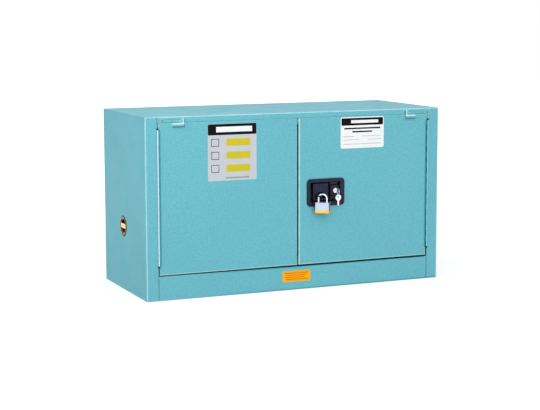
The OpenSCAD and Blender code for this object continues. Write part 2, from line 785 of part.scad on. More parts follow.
// The lock block and the two bars that stand on the well's floor beside the paddle.
module tray_islands() {
    gap = 9.5;
    bar_x = pivot_x + norm([paddle_x1 - pivot_x, pivot_y - paddle_y]) + 0.8;
    span([paddle_x1 + gap, block_y, lock_z - 18], [well_x1 - 4.5, well_y + over, lock_z + 18]);
    span([bar_x, block_y + 1, well_z1 - 10.5], [well_x1 - 8, well_y + over, well_z1 - 1]);
    span([bar_x, block_y + 2, well_z0 + 4.5], [well_x1 - 13.5, well_y + over, well_z0 + 15.5]);
}

module tray_nuts() color(zinc) for (p = stud_places) difference() {
    translate([p[0], front_y + sheet, p[1]]) rotate([-90, 0, 0]) cylinder(h = 3, r = 3.4, $fn = 6);
    rod_along_y(p[0], p[1], front_y, front_y + 8, stud_r);
}

module paddle_pin() color(zinc)
    rod_along_z(pivot_x, pivot_y, well_z0 - cast_wall, well_z1 + cast_wall, paddle_pin_r);

spring_low = cam_z - 4;
spring_high = cam_z + 10;

module paddle_spring() color(zinc) translate([pivot_x, pivot_y, 0])
    coil(paddle_pin_r + 0.5 + 0.8, 0.8, spring_low, spring_high, 6);

// The opening in the paddle: its foot is flat and its top is an arch.
module paddle_window() intersection() {
    span([window_x0, paddle_y - over, window_z0],
        [window_x1, paddle_y + paddle_t + over, window_z0 + window_high]);
    rod_along_y((window_x0 + window_x1) / 2, window_z0, paddle_y - over,
        paddle_y + paddle_t + over, window_r);
}

// The plate that the fingers pull, with its folded edges, barrels and drive finger.
module paddle_plate() {
    span([paddle_x0, paddle_y, paddle_z0], [paddle_x1, paddle_y + paddle_t, paddle_z1]);
    span([paddle_x0, paddle_y, paddle_z0], [paddle_x0 + paddle_t, paddle_y + 9, paddle_z1]);
    for (z = [paddle_z0, paddle_z1 - paddle_t])
        span([paddle_x0, paddle_y, z], [pivot_x - barrel_r, paddle_y + 7, z + paddle_t]);
    for (z = [[paddle_z0, spring_low - slip], [spring_high + slip, paddle_z1]]) {
        rod_along_z(pivot_x, pivot_y, z[0], z[1], barrel_r);
        span([pivot_x - barrel_r, paddle_y, z[0]], [pivot_x + paddle_t, pivot_y, z[1]]);
    }
    span([pivot_x - nose_r, pivot_y, nose_z - 6], [pivot_x + nose_r, pivot_y + nose_back, nose_z + 6]);
    rod_along_z(pivot_x, pivot_y + nose_back, nose_z - 6, nose_z + 6, nose_r);
}

// The padlock's shackle passes through a tab on the bar that crosses the window.
module paddle() color(black) difference() {
    low = tab_z - tab_t / 2;
    high = tab_z + tab_t / 2;
    union() {
        difference() {
            paddle_plate();
            paddle_window();
        }
        span([window_x0 - over, paddle_y, low], [window_x1 + over, paddle_y + paddle_t, high]);
        span([tab_x - tab_r, tab_y, low], [tab_x + tab_r, paddle_y + over, high]);
        rod_along_z(tab_x, tab_y, low, high, tab_r);
    }
    rod_along_z(pivot_x, pivot_y, paddle_z0 - over, paddle_z1 + over, paddle_pin_r + run);
    rod_along_z(tab_x, tab_y, low - over, high + over, tab_hole_r);
}

module cam_stud() color(zinc) {
    rod_along_y(cam_x, cam_z, tray_back, cam_y - 2 - slip, 6);
    rod_along_y(cam_x, cam_z, tray_back, rod_mid, 3);
    rod_along_y(cam_x, cam_z, cam_y + cam_t + slip, rod_mid + 1, 5);
}

// A four-armed cam: the paddle pushes its lowest pin, and its other pins move the bolts.
module latch_cam() color(zinc) difference() {
    union() {
        for (a = [0, 90]) translate([cam_x, cam_y, cam_z]) rotate([0, a, 0])
            round_slab(-cam_r - 4.5, -4.5, cam_r + 4.5, 4.5, 0, cam_t, 4.4);
        rod_along_y(cam_x, cam_z, cam_y - 2, cam_y + cam_t, 8);
        rod_along_y(cam_x, cam_z - cam_r, tray_back + slip, cam_y + over, cam_pin_r);
        rod_along_y(cam_x, cam_z + cam_r, bolt_y - 0.5, cam_y + over, cam_pin_r);
        for (s = [-1, 1])
            rod_along_y(cam_x + s * cam_r, cam_z, cam_y + over, rod_y + rod_t + 0.5, cam_pin_r);
    }
    rod_along_y(cam_x, cam_z, cam_y - 3, cam_y + cam_t + over, 3 + run);
}

// A flat bar with a cross slot at the cam and a round bullet at the door's edge.
module latch_rod(x, slot_x0, z0, z1, bullet_z0, bullet_z1) color(zinc) {
    difference() {
        span([x - rod_w / 2, rod_y, z0], [x + rod_w / 2, rod_y + rod_t, z1]);
        span([slot_x0 - cam_pin_r - slip, rod_y - over, cam_z - cam_pin_r - rod_slip],
            [slot_x0 + 2 + cam_pin_r + slip, rod_y + rod_t + over, cam_z + cam_pin_r + rod_slip]);
    }
    rod_along_z(x, rod_mid, bullet_z0, bullet_z1, bullet_r);
}

module top_rod() latch_rod(top_rod_x, cam_x + cam_r - 2, cam_z - 7, door_high - bullet_len + 5,
    door_high - bullet_len, header_z - 0.5);

module bottom_rod() latch_rod(bottom_rod_x, cam_x - cam_r, door_low + bullet_len - 5, cam_z + 7,
    kick_h + 0.5, door_low + bullet_len);

module centre_bolt() color(zinc) difference() {
    union() {
        span([free_x - bolt_nose, bolt_y, bolt_z - bolt_h / 2],
            [cam_x + 6.5, bolt_y + rod_t, bolt_z + bolt_h / 2]);
        span([cam_x - 6.5, bolt_y, bolt_z - bolt_h / 2 - 2],
            [cam_x + 6.5, bolt_y + rod_t, bolt_z + bolt_h / 2 + 2]);
    }
    span([cam_x - cam_pin_r - rod_slip, bolt_y - over, bolt_z - 2 - cam_pin_r - slip],
        [cam_x + cam_pin_r + rod_slip, bolt_y + rod_t + over, bolt_z + cam_pin_r + slip]);
}

// Angle brackets on the door's front sheet that the bars slide through.
module rod_guides() color(zinc) {
    skin = front_y + sheet;
    far = door_back - sheet - 0.8;
    for (g = [[top_rod_x, (cam_z + 2 * door_high) / 3], [bottom_rod_x, (cam_z + 2 * door_low) / 3]])
        difference() {
            union() {
                span([g[0] - rod_w, skin, g[1]], [g[0] + rod_w, far, g[1] + sheet]);
                span([g[0] - rod_w, skin, g[1]], [g[0] + rod_w, skin + sheet, g[1] + fold_w]);
            }
            span([g[0] - rod_w / 2 - rod_slip, rod_y - rod_slip, g[1] - over],
                [g[0] + rod_w / 2 + rod_slip, rod_y + rod_t + rod_slip, g[1] + 2 * sheet]);
        }
    difference() {
        union() {
            span([bezel_x - 12, skin, bolt_z - bolt_h],
                [bezel_x - 12 + sheet, bolt_y + rod_t + 4, bolt_z + bolt_h]);
            span([bezel_x - 12 + sheet - fold_w, skin, bolt_z - bolt_h],
                [bezel_x - 12 + sheet, skin + sheet, bolt_z + bolt_h]);
        }
        span([bezel_x - 12 - over, bolt_y - rod_slip, bolt_z - bolt_h / 2 - rod_slip],
            [bezel_x - 12 + 2 * sheet, bolt_y + rod_t + rod_slip, bolt_z + bolt_h / 2 + rod_slip]);
    }
}

// Plates behind the header and the sill that the rod ends point into.
module rod_strikes() color(zinc) {
    for (s = [[top_rod_x, header_z + sheet], [bottom_rod_x, kick_h - sheet - strike_t]])
        difference() {
            span([s[0] - 15, rod_mid - 9, s[1]], [s[0] + 15, rod_mid + 7, s[1] + strike_t]);
            rod_along_z(s[0], rod_mid, s[1] - over, s[1] + strike_t + over, bullet_r + rod_slip);
        }
}

// ---- Key lock ------------------------------------------------------------

lock_body_r = 6.5;
ring_face = block_y - 2;
plug_face = ring_face - 0.5;
plug_back = tray_back + 4;
blade_h = 6.6;
keyway_deep = 18;

module lock_barrel() color(chrome) difference() {
    union() {
        rod_along_y(lock_x, lock_z, ring_face, block_y, lock_ring_r);
        rod_along_y(lock_x, lock_z, block_y, tray_back + 3, lock_body_r);
        rod_along_y(lock_x, lock_z, tray_back, tray_back + 3, lock_ring_r);
    }
    rod_along_y(lock_x, lock_z, ring_face - over, plug_back, plug_r + run);
}

module lock_plug() color(chrome) difference() {
    rod_along_y(lock_x, lock_z, plug_face, plug_back, plug_r);
    span([lock_x - key_t / 2 - 0.2, plug_face - over, lock_z - blade_h / 2 - 0.2],
        [lock_x + key_t / 2 + 0.2, plug_face + keyway_deep, lock_z + blade_h / 2 + 0.2]);
}

module lock_tail() color(zinc) {
    rod_along_y(lock_x, lock_z, plug_back, plug_back + 2, plug_r + 1);
    span([lock_x - 4, plug_back, lock_z - 20], [lock_x + 4, plug_back + 2, lock_z]);
}

// A key lying in the YZ plane: round bow, shoulder and notched blade. Its tip is at
// 0,0 and it points along -Y; the bow's hole is hole_in beyond the bow's middle.
module key_shape(blade_len) {
    bow_mid = -blade_len - bow_r + 2;
    notch = 1.6;
    difference() {
        union() {
            rod_along_x(bow_mid, 0, -key_t / 2, key_t / 2, bow_r);
            span([-key_t / 2, -blade_len - 3, -blade_h / 2 - 0.8],
                [key_t / 2, 3 - blade_len, blade_h / 2 + 0.8]);
            span([-key_t / 2, -blade_len, -blade_h / 2], [key_t / 2, 0, blade_h / 2]);
        }
        rod_along_x(bow_mid - hole_in, 0, -key_t, key_t, bow_hole_r);
        for (i = [1 : 4]) span([-key_t, -3.4 * i, blade_h / 2 - notch * (1 + i % 2) / 2],
            [key_t, 1.7 - 3.4 * i, blade_h]);
        span([-key_t, -1.2, 0.6 - blade_h], [key_t, over, -blade_h / 2 + 1]);
    }
}

inserted_len = plug_face + keyway_deep - 1 - key_y - bow_r - hole_in + 2;
spare_len = 19;

module inserted_key() color(chrome)
    translate([lock_x, plug_face + keyway_deep - 1, lock_z]) key_shape(inserted_len);

module key_ring() color(chrome) translate([lock_x, key_y, lock_z - ring_r]) rotate([90, 0, 45])
    rotate_extrude($fn = 48) translate([ring_r, 0]) circle(ring_wire, $fn = 24);

module spare_key() color(chrome)
    translate([lock_x, key_y, spare_hole_z - hole_in - bow_r + 2 - spare_len])
        rotate([-90, 0, 0]) rotate([0, 90, 0]) key_shape(spare_len);

// ---- Padlock -------------------------------------------------------------

leg_deep = [16, 20];
leg_room = 0.2;

// Everything on the padlock is drawn about the eye, turned to the way that it hangs.
module at_eye() translate([eye_x, eye_y, 0]) rotate([0, 0, padlock_turn]) children();

module padlock_shackle() color(chrome) at_eye() {
    translate([0, 0, arch_z]) rotate([90, 0, 0]) rotate_extrude(angle = 180, $fn = 64)
        translate([arch_r, 0]) circle(shackle_r, $fn = 32);
    rod_along_z(-arch_r, 0, case_high - leg_deep[0], arch_z, shackle_r);
    rod_along_z(arch_r, 0, case_high - leg_deep[1], arch_z, shackle_r);
}

// The laminated case: a stack of plates with a small step between each pair.
module padlock_case() color(zinc) at_eye() difference() {
    plates = round(case_h / lamina);
    step = case_h / plates;
    union() {
        for (i = [0 : plates - 1])
            round_post(case_w, case_t, case_low + i * step, case_low + (i + 0.86) * step, 3);
        round_post(case_w - 0.8, case_t - 0.8, case_low, case_high, 2.6);
    }
    rod_along_z(-arch_r, 0, case_high - leg_deep[0] - 1, case_high + over, shackle_r + leg_room);
    rod_along_z(arch_r, 0, case_high - leg_deep[1] - 1, case_high + over, shackle_r + leg_room);
}

module padlock_band() color(yellow) at_eye() difference() {
    round_post(case_w + 0.6, case_t + 0.6, case_low - band_h, case_low, 3.3);
    rod_along_z(0, 0, case_low - band_h - over, case_low - band_h + 3, 5.5);
}

// ---- Closer arms ---------------------------------------------------------

// The right-hand arm: a boss on its pin, a plate and lip in the header's slot, and a
// J-shaped hook whose foot bears on the front of the door.
module closer_arm() color(paint) {
    px = hinge_x - pivot_in;
    py = front_y + pivot_back;
    stem_x0 = hinge_x - closer_reach;
    plate_low = arm_low;
    hook_y1 = front_y - foot_gap;
    hook_y0 = hook_y1 - arm_t - 0.5;
    difference() {
        union() {
            rod_along_z(px, py, arm_low, arm_boss_high, closer_boss_r);
            span([hinge_x - neck_end, py - neck_half, plate_low],
                [px, py + neck_half, plate_low + arm_t]);
            span([stem_x0 + 1, front_y + sheet, plate_low],
                [hinge_x - neck_end, front_y + arm_depth, plate_low + arm_t]);
        }
        rod_along_z(px, py, arm_low - over, arm_boss_high + over, closer_pin_r + run);
    }
    span([stem_x0 + 1, front_y, arm_low],
        [hinge_x - neck_end - 0.8, front_y + sheet, arm_low + arm_lip_h]);
    span([stem_x0 + 1, hook_y0, plate_low],
        [stem_x0 + stem_w - 2, front_y + 2 * sheet, plate_low + arm_t]);
    closer_hook(stem_x0, hook_y0, hook_y1);
}

// Stem and foot with round ends, in one plate.
module closer_hook(x, y0, y1) {
    r = foot_h / 2 - 0.01;
    round_slab(x, foot_low, x + foot_len, foot_low + foot_h, y0, y1, r);
    round_slab(x, foot_low, x + stem_w, stem_high, y0, y1, 4);
}

module closer_pins() color(zinc) both_sides() {
    px = hinge_x - pivot_in;
    py = front_y + pivot_back;
    rod_along_z(px, py, header_z + sheet, cab_h - sheet, closer_pin_r);
    rod_along_z(px, py, arm_boss_high + slip, cab_h - sheet, closer_boss_r + 2.5);
}

module closer_springs() color(zinc) both_sides()
    translate([hinge_x - pivot_in, front_y + pivot_back, 0])
        coil(closer_boss_r + 0.6 + spring_wire, spring_wire, arm_low + arm_t + 1,
            arm_boss_high + slip, 4);

// ---- Nodes ---------------------------------------------------------------

top_panel();
mirror([1, 0, 0]) side_panel(vent_left_z);  // left_side_panel
right_side_panel();
back_panel();
base_pan();
base_runners();
kick_panel();
header_stop();
mirror([1, 0, 0]) liner_side(vent_left_z);  // liner_left
liner_side(vent_right_z);  // liner_right
liner_back();
liner_top();
sump_tub();
shelf_standards();
shelf_clips();
shelf();
shelf_tray();
vent_tubes();
flame_screens();
frame_hinge_leaves();
hinge_pins();
rod_strikes();
closer_pins();
closer_springs();
ground_screw();
mirror([1, 0, 0]) vent_cap(vent_left_z);  // left_vent_cap
vent_cap(vent_right_z);  // right_vent_cap
mirror([1, 0, 0]) closer_arm();  // left_closer_arm
closer_arm();  // right_closer_arm
left_door_outer();
color(paint) mirror([1, 0, 0]) door_inner();  // left_door_inner
mirror([1, 0, 0]) door_leaf();  // left_door_leaf
mirror([1, 0, 0]) door_stiffener();  // left_door_stiffener
bolt_strike();
right_door_outer();
right_door_inner();
door_leaf();  // right_door_leaf
door_stiffener();  // right_door_stiffener
latch_tray();
tray_nuts();
paddle_pin();
paddle_spring();
cam_stud();
rod_guides();
lock_barrel();
paddle();
latch_cam();
top_rod();
bottom_rod();
centre_bolt();
lock_plug();
lock_tail();
inserted_key();
key_ring();
spare_key();
padlock_shackle();
padlock_case();
padlock_band();
centre_seal();
sill_flange();
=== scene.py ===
"""Looks of a bench-top steel cabinet: camera, lights, materials, labels and small trim.

Lengths are in metres in the part's own axes: X to the right, Y to the back, Z up, floor at Z = 0.
"""
import json
import math

import bmesh
import bpy
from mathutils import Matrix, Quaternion, Vector


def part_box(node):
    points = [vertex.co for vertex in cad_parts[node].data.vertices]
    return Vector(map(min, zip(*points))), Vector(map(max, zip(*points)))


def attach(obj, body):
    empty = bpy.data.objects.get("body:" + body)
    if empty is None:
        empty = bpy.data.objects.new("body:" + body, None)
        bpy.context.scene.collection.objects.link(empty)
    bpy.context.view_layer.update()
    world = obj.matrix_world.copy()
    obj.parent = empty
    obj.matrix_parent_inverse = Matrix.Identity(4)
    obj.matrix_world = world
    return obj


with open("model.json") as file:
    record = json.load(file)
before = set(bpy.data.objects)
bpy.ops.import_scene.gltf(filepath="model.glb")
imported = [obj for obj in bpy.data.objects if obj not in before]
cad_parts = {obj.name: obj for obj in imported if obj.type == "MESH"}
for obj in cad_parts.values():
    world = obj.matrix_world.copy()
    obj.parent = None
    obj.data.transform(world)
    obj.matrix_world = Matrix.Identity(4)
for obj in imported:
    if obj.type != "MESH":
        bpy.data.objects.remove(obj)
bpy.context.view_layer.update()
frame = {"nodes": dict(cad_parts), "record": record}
nodes = frame["nodes"]

scene = bpy.context.scene
scene.view_settings.view_transform = "Standard"

# ---- places read from the frame -------------------------------------------

CAB_LOW, CAB_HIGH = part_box("top_panel")
DOOR_LOW, DOOR_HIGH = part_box("right_door_outer")
LEAF_LOW, LEAF_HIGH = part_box("frame_hinge_leaves")
PINS_LOW, PINS_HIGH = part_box("hinge_pins")
ARM_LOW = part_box("right_closer_arm")[0]
SEAL_LOW, SEAL_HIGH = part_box("centre_seal")
CAP_LOW, CAP_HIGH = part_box("left_vent_cap")
KICK_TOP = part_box("kick_panel")[1].z
FRONT = CAB_LOW.y

# ---- camera ---------------------------------------------------------------

CAM_POS = Vector((-2.0233, -4.6621, 0.9692))
CAM_AIM = Vector((-0.0054, 0.0, 0.2642))
CAM_LENS = 95.96
CAM_ROLL = math.radians(0.13)

cam_data = bpy.data.cameras.new("camera")
cam_data.sensor_width = 36.0
cam_data.lens = CAM_LENS
cam_data.clip_start = 0.05
cam_data.clip_end = 100.0
cam = bpy.data.objects.new("camera", cam_data)
scene.collection.objects.link(cam)
cam.location = CAM_POS
look = (CAM_AIM - CAM_POS).normalized()
cam.rotation_mode = "QUATERNION"
cam.rotation_quaternion = Quaternion(look, CAM_ROLL) @ look.to_track_quat("-Z", "Y")
scene.camera = cam

# ---- small helpers --------------------------------------------------------


def srgb(r, g, b):
    """A colour on a 0 to 255 scale, as the linear colour a shader takes."""
    def lin(v):
        v /= 255.0
        return v / 12.92 if v <= 0.04045 else ((v + 0.055) / 1.055) ** 2.4
    return (lin(r), lin(g), lin(b), 1.0)


def toned(colour, red, green, blue):
    """The colour with its red, green and blue scaled."""
    return (colour[0] * red, colour[1] * green, colour[2] * blue, 1.0)


class Shader:
    """A node material built in a few calls."""

    def __init__(self, name):
        self.m = bpy.data.materials.new(name)
        self.m.use_nodes = True
        self.t = self.m.node_tree
        self.t.nodes.clear()
        self.out = self.node("ShaderNodeOutputMaterial")
        self.p = self.node("ShaderNodeBsdfPrincipled")
        self.link(self.p.outputs[0], self.out.inputs["Surface"])
        self.coord = self.node("ShaderNodeTexCoord").outputs["Object"]

    def node(self, kind, **props):
        """A new node with its settings."""
        n = self.t.nodes.new(kind)
        for k, v in props.items():
            setattr(n, k, v)
        return n

    def link(self, a, b):
        self.t.links.new(a, b)

    def set(self, **values):
        """Plain numbers on the main shader's own sockets."""
        for k, v in values.items():
            self.p.inputs[k.replace("_", " ")].default_value = v

    def mapped(self, scale):
        """The coordinates, scaled along each axis."""
        n = self.node("ShaderNodeMapping")
        self.link(self.coord, n.inputs["Vector"])
        n.inputs["Scale"].default_value = scale
        return n.outputs[0]

    def noise(self, scale, detail=2.0, rough=0.5, stretch=None):
        """Cloudy noise; stretch scales it along each axis."""
        n = self.node("ShaderNodeTexNoise")
        self.link(self.mapped(stretch) if stretch else self.coord, n.inputs["Vector"])
        n.inputs["Scale"].default_value = scale
        n.inputs["Detail"].default_value = detail
        n.inputs["Roughness"].default_value = rough
        return n.outputs["Fac"]

    def voronoi(self, scale, out="Distance"):
        """Cells, as the distance from their middles or as a colour for each."""
        n = self.node("ShaderNodeTexVoronoi")
        self.link(self.coord, n.inputs["Vector"])
        n.inputs["Scale"].default_value = scale
        return n.outputs[out]

    def ramp(self, fac, stops):
        """stops is a list of (position, colour or grey level)."""
        n = self.node("ShaderNodeValToRGB")
        self.link(fac, n.inputs[0])
        e = n.color_ramp.elements
        while len(e) < len(stops):
            e.new(0.5)
        for i, (pos, col) in enumerate(stops):
            e[i].position = pos
            e[i].color = col if hasattr(col, "__len__") else (col, col, col, 1.0)
        return n.outputs[0]

    def math(self, op, a, b=0.0):
        """A sum of two sockets or numbers; ABSOLUTE takes a alone."""
        n = self.node("ShaderNodeMath", operation=op)
        for i, v in enumerate((a, b)):
            if hasattr(v, "links"):
                self.link(v, n.inputs[i])
            else:
                n.inputs[i].default_value = v
        return n.outputs[0]

    def mix(self, fac, a, b, blend="MIX"):
        """a where fac is 0; where fac is 1, b, or a blended with b."""
        n = self.node("ShaderNodeMix", data_type="RGBA", blend_type=blend)
        for i, v in ((0, fac), (6, a), (7, b)):
            if hasattr(v, "links"):
                self.link(v, n.inputs[i])
            else:
                n.inputs[i].default_value = v
        return n.outputs[2]

    def remap(self, v, low, high, from_low=0.3, from_high=0.7):
        """low up to from_low, high from from_high on, and evenly between."""
        n = self.node("ShaderNodeMapRange")
        self.link(v, n.inputs[0])
        for i, x in enumerate((from_low, from_high, low, high)):
            n.inputs[i + 1].default_value = x
        return n.outputs[0]

    def window(self, v, origin, start, low, high, end):
        """0 up to start, 1 from low to high and 0 from end on, all counted from origin."""
        rise = self.remap(v, 0.0, 1.0, origin + start, origin + low)
        fall = self.remap(v, 1.0, 0.0, origin + high, origin + end)
        return self.math("MULTIPLY", rise, fall)

    def rounded(self, radius):
        """The surface's normal with its edges rounded off."""
        n = self.node("ShaderNodeBevel", samples=6)
        n.inputs["Radius"].default_value = radius
        return n.outputs[0]

    def bump(self, layers, radius=0.0):
        """layers is a list of (height, strength, distance); an edge radius rounds what they lie on."""
        normal = self.rounded(radius) if radius else None
        for height, strength, distance in layers:
            n = self.node("ShaderNodeBump")
            self.link(height, n.inputs["Height"])
            n.inputs["Strength"].default_value = strength
            n.inputs["Distance"].default_value = distance
            if normal is not None:
                self.link(normal, n.inputs["Normal"])
            normal = n.outputs[0]
        self.link(normal, self.p.inputs["Normal"])

    def edges(self, radius, low=0.02, high=0.25):
        """1 along sharp outer and inner edges, 0 on the flats."""
        geo = self.node("ShaderNodeNewGeometry")
        dot = self.node("ShaderNodeVectorMath", operation="DOT_PRODUCT")
        self.link(self.rounded(radius), dot.inputs[0])
        self.link(geo.outputs["Normal"], dot.inputs[1])
        turned = self.math("SUBTRACT", 1.0, dot.outputs["Value"])
        return self.remap(turned, 0.0, 1.0, low, high)

    def open_air(self, reach):
        """1 where a spot is open to its surroundings, 0 deep in a gap narrower than reach."""
        n = self.node("ShaderNodeAmbientOcclusion", samples=8)
        n.inputs["Distance"].default_value = reach
        return n.outputs["AO"]

    def away(self, value, place):
        """How far a coordinate is from a place."""
        return self.math("ABSOLUTE", self.math("SUBTRACT", value, place))

    def axes(self, vector):
        """The three parts of a vector."""
        n = self.node("ShaderNodeSeparateXYZ")
        self.link(vector, n.inputs[0])
        return n.outputs[0], n.outputs[1], n.outputs[2]

    def far_from(self, point):
        """Distance from a point of the part."""
        n = self.node("ShaderNodeVectorMath", operation="DISTANCE")
        self.link(self.coord, n.inputs[0])
        n.inputs[1].default_value = point
        return n.outputs["Value"]

    def to(self, socket, value):
        """Links a value to one of the main shader's sockets."""
        self.link(value, self.p.inputs[socket])


# ---- materials ------------------------------------------------------------

TEAL = srgb(110, 189, 204)
# painted shadow down the doors' faces beside the hinges
HINGE_SHADOW_TEAL = srgb(34, 140, 152)
# painted shade deep in narrow gaps, and painted light where it falls into them above the hinges
GAP_SHADE_DARK = srgb(2, 18, 22)
GAP_SHADE_TEAL = srgb(16, 112, 124)
GAP_PAINTED_LIGHT = srgb(214, 248, 252)
# painted highlights on the hinge barrel fronts
BARREL_HIGHLIGHT_LEFT = srgb(214, 242, 248)
BARREL_HIGHLIGHT_RIGHT = srgb(142, 210, 224)
KICK_SHADE = srgb(8, 62, 72)
# darker paint round the hinge pins' heads
PIN_DARK = srgb(4, 18, 22)
# painted shadow round the left vent's flange
VENT_SHADOW = srgb(12, 30, 34)
# pale folds and edges: wear, and painted highlight along the folds
WORN_AND_HIGHLIT = srgb(206, 240, 246)
HOOK_LIT = srgb(232, 250, 252)
HOOK_SHADE = srgb(12, 92, 104)

PIN_HEAD_MID = 0.0022  # from the end of a hinge pin to the middle of its head
PIN_DARK_IN = 0.0031  # from a hinge pin's outer side to the middle of the dark patch, towards the doors


class Paint(Shader):
    """Powder coat over sheet steel, with the painted light and shade, and the wear, that its place on the
    cabinet gives it.
    """

    def __init__(self, name, base):
        super().__init__(name)
        self.x, self.y, self.z = self.axes(self.coord)
        self.side = self.math("ABSOLUTE", self.x)
        self.depth = self.math("SUBTRACT", self.y, FRONT)
        self.on_face = self.remap(self.depth, 1.0, 0.0, 0.004, 0.006)  # 1 on the front, 0 behind it
        self.air = self.open_air(0.012)
        self.fold = self.math("MULTIPLY", self.edges(0.0012), self.remap(self.air, 0.3, 1.0, 0.35, 0.7))
        self.body = self.coat(base)

    def shade(self, mask, colour):
        """Lays a colour over what the coat has so far."""
        self.body = self.mix(mask, self.body, colour)

    def coat(self, base):
        """Mottled grain, fine specks and a faint cloudy tone."""
        base = toned(base, 1.08, 1.02, 1.005)
        dim = toned(base, 0.965, 0.975, 0.98)
        bright = toned(base, 1.03, 1.02, 1.02)
        cloudy = self.ramp(self.noise(2.2, 3.0), [(0.3, dim), (0.7, bright)])
        grain = self.ramp(self.noise(170.0, 3.0, 0.6), [(0.36, (0.84, 0.88, 0.88, 1)), (0.64, 1.0)])
        speck = self.ramp(self.noise(520.0, 1.0), [(0.42, 0.9), (0.6, 1.0)])
        return self.mix(1.0, self.mix(0.5, cloudy, speck, "MULTIPLY"), grain, "MULTIPLY")

    def painted_hinge_shadow(self):
        """Painted shadow down a door's face, along its hinge, where the barrel shades it."""
        across = self.remap(self.side, 0.0, 0.85, DOOR_HIGH.x - 0.0087, DOOR_HIGH.x - 0.0047)
        low, high = LEAF_LOW.z, LEAF_HIGH.z
        along = self.window(self.z, 0.0, low - 0.002, low + 0.001, high - 0.001, high + 0.002)
        self.shade(self.math("MULTIPLY", across, along), HINGE_SHADOW_TEAL)

    def darken_round_pins(self):
        """Darker paint round the hinge pins' heads."""
        top = self.away(self.z, PINS_HIGH.z - PIN_HEAD_MID)
        bottom = self.away(self.z, PINS_LOW.z + PIN_HEAD_MID)
        across = self.away(self.side, PINS_HIGH.x - PIN_DARK_IN)
        far = self.math("MAXIMUM", across, self.math("MINIMUM", top, bottom))
        self.shade(self.math("MULTIPLY", self.remap(far, 0.9, 0.0, 0.0036, 0.0048), self.on_face), PIN_DARK)

    def painted_gap_shade(self):
        """Painted shade in narrow gaps, less on the left, and painted light in them above the hinges."""
        lit = self.remap(self.air, 0.0, 1.0, 0.25, 0.85)
        above = self.remap(self.z, 0.0, 1.0, LEAF_HIGH.z + 0.0015, LEAF_HIGH.z + 0.0075)
        lift = self.math("MAXIMUM", above, self.remap(self.x, 0.5, 0.0, -0.5, -0.1))
        dark = self.mix(lit, GAP_SHADE_DARK, GAP_SHADE_TEAL)
        self.body = self.mix(lit, self.mix(lift, dark, GAP_PAINTED_LIGHT), self.body)

    def barrel_highlights(self):
        """Painted highlight on the front of each hinge barrel, the left hinge's brightest."""
        tone = self.mix(self.remap(self.x, 0.0, 1.0, -0.3, 0.3), BARREL_HIGHLIGHT_LEFT, BARREL_HIGHLIGHT_RIGHT)
        self.shade(self.remap(self.y, 1.0, 0.0, LEAF_LOW.y + 0.0005, LEAF_LOW.y + 0.0014), tone)

    def cabinet_fold_highlights(self):
        """Painted highlight along the sheet's upright and upper front folds."""
        side = self.math("SUBTRACT", CAB_HIGH.x, self.side)
        top = self.math("SUBTRACT", CAB_HIGH.z, self.z)
        corner = self.math("MAXIMUM", self.math("MINIMUM", side, top), self.depth)
        self.fold = self.math("MAXIMUM", self.fold, self.remap(corner, 1.0, 0.0, 0.0025, 0.0045))

    def kick_shadow(self):
        """Shadow of the doors on the kick panel's upper fold, faint at the left and full from the middle."""
        edge = self.window(self.z, KICK_TOP, -0.0035, -0.0015, 0.0005, 0.002)
        edge = self.math("MULTIPLY", edge, self.on_face)
        edge = self.math("MULTIPLY", edge, self.remap(self.x, 0.0, 0.85, -0.4, 0.0))
        within = self.remap(self.side, 1.0, 0.0, DOOR_HIGH.x - 0.010, DOOR_HIGH.x)
        self.shade(self.math("MULTIPLY", edge, within), KICK_SHADE)

    def vent_flange_shadow(self):
        """Painted shadow round the left vent's flange, wider on its front side."""
        middle = (CAP_LOW + CAP_HIGH) / 2
        far = self.far_from((CAB_LOW.x, middle.y - 0.003, middle.z - 0.0005))
        self.shade(self.remap(far, 0.92, 0.0, 0.0358, 0.0372), VENT_SHADOW)

    def door_edge_highlights(self):
        """Painted highlight along the right door's free edge and both doors' lower edges."""
        free = self.window(self.x, DOOR_LOW.x, -0.0025, -0.0015, 0.0035, 0.0055)
        lower = self.remap(self.z, 0.8, 0.0, DOOR_LOW.z + 0.0025, DOOR_LOW.z + 0.0045)
        self.fold = self.math("MAXIMUM", self.fold, self.math("MAXIMUM", free, lower))

    def wear_and_highlight(self, wear_and_highlight_strength):
        """Folds and edges made pale in patches: wear on the edges and painted highlight along the folds."""
        patches = self.ramp(self.noise(35.0, 4.0), [(0.3, 0.65), (0.7, 1.0)])
        worn_and_highlit = self.math("MULTIPLY", self.fold, patches)
        self.shade(self.math("MULTIPLY", worn_and_highlit, wear_and_highlight_strength), WORN_AND_HIGHLIT)

    def hook_light_and_shade(self):
        """Painted light and shade on a closer arm's hook: pale along the foot's top and the stem, dark on the
        outer edges.
        """
        foot = self.math("MULTIPLY", self.window(self.z, ARM_LOW.z, 0.0085, 0.0105, 0.0130, 0.0145), 0.75)
        stem = self.math("MULTIPLY", self.window(self.side, ARM_LOW.x, 0.0033, 0.0048, 0.0073, 0.0088), 0.55)
        stem = self.math("MULTIPLY", stem, self.remap(self.z, 0.0, 1.0, ARM_LOW.z + 0.013, ARM_LOW.z + 0.015))
        self.shade(self.math("MAXIMUM", foot, stem), HOOK_LIT)
        self.shade(self.remap(self.side, 0.75, 0.0, ARM_LOW.x + 0.0016, ARM_LOW.x + 0.0033), HOOK_SHADE)
        self.shade(self.remap(self.z, 0.85, 0.0, ARM_LOW.z + 0.0020, ARM_LOW.z + 0.0035), HOOK_SHADE)

